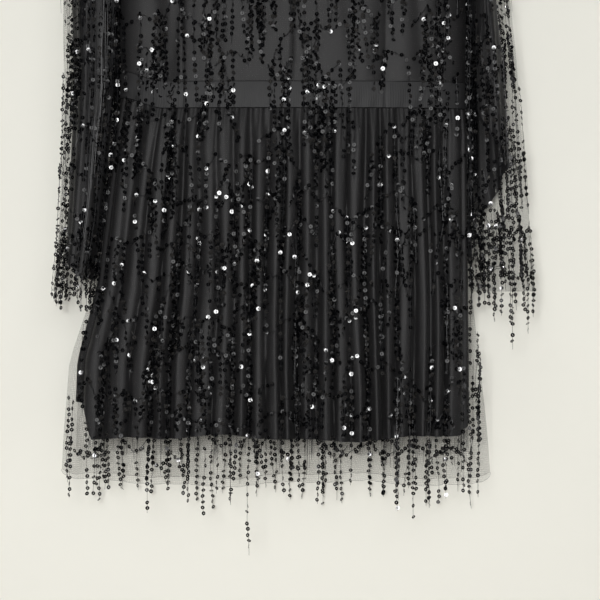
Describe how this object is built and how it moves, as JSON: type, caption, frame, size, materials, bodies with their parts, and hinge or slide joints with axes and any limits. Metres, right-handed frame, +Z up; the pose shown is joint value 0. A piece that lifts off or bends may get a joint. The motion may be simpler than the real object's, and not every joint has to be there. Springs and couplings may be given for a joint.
{
  "type": "sequin mini dress on a hanger",
  "caption": "Long-sleeved black mini dress of sequin-fringed net over a plain lining, with an inset waistband and a gathered skirt, hanging on a wooden hanger.",
  "frame": {"origin": "top of the inside of the hanger's hook, where it sits on a rail", "axes": "+Z up; the front of the dress faces -Y; +X is to the right seen from the front, which is the wearer's left"},
  "size_m": [0.566, 0.1055, 1.0475],
  "materials": {
    "lining": "matt black crepe",
    "net": "sheer black net",
    "band": "soft black satin-backed crepe",
    "sequins": "glossy black sequins on black thread",
    "wood": "clear varnished beech",
    "wire": "polished plated wire"
  },
  "bodies": {
    "root": {"bodice_lining_front_right": "lining", "bodice_lining_front_left": "lining", "bodice_lining_back_right": "lining", "bodice_lining_back_left": "lining", "bodice_net_front_right": "net", "bodice_net_front_left": "net", "bodice_net_back_right": "net", "bodice_net_back_left": "net", "waistband_front": "band", "waistband_back": "band", "skirt_lining_front": "lining", "skirt_lining_back": "lining", "skirt_net_front": "net", "skirt_net_back": "net", "sleeve_lining_right": "lining", "sleeve_lining_left": "lining", "sleeve_net_right": "net", "sleeve_net_left": "net", "hem_fringe_front": "sequins", "hem_fringe_back": "sequins", "cuff_fringe_right": "sequins", "cuff_fringe_left": "sequins", "hanger_arm": "wood", "hanger_hook": "wire"}
  },
  "joints": []
}
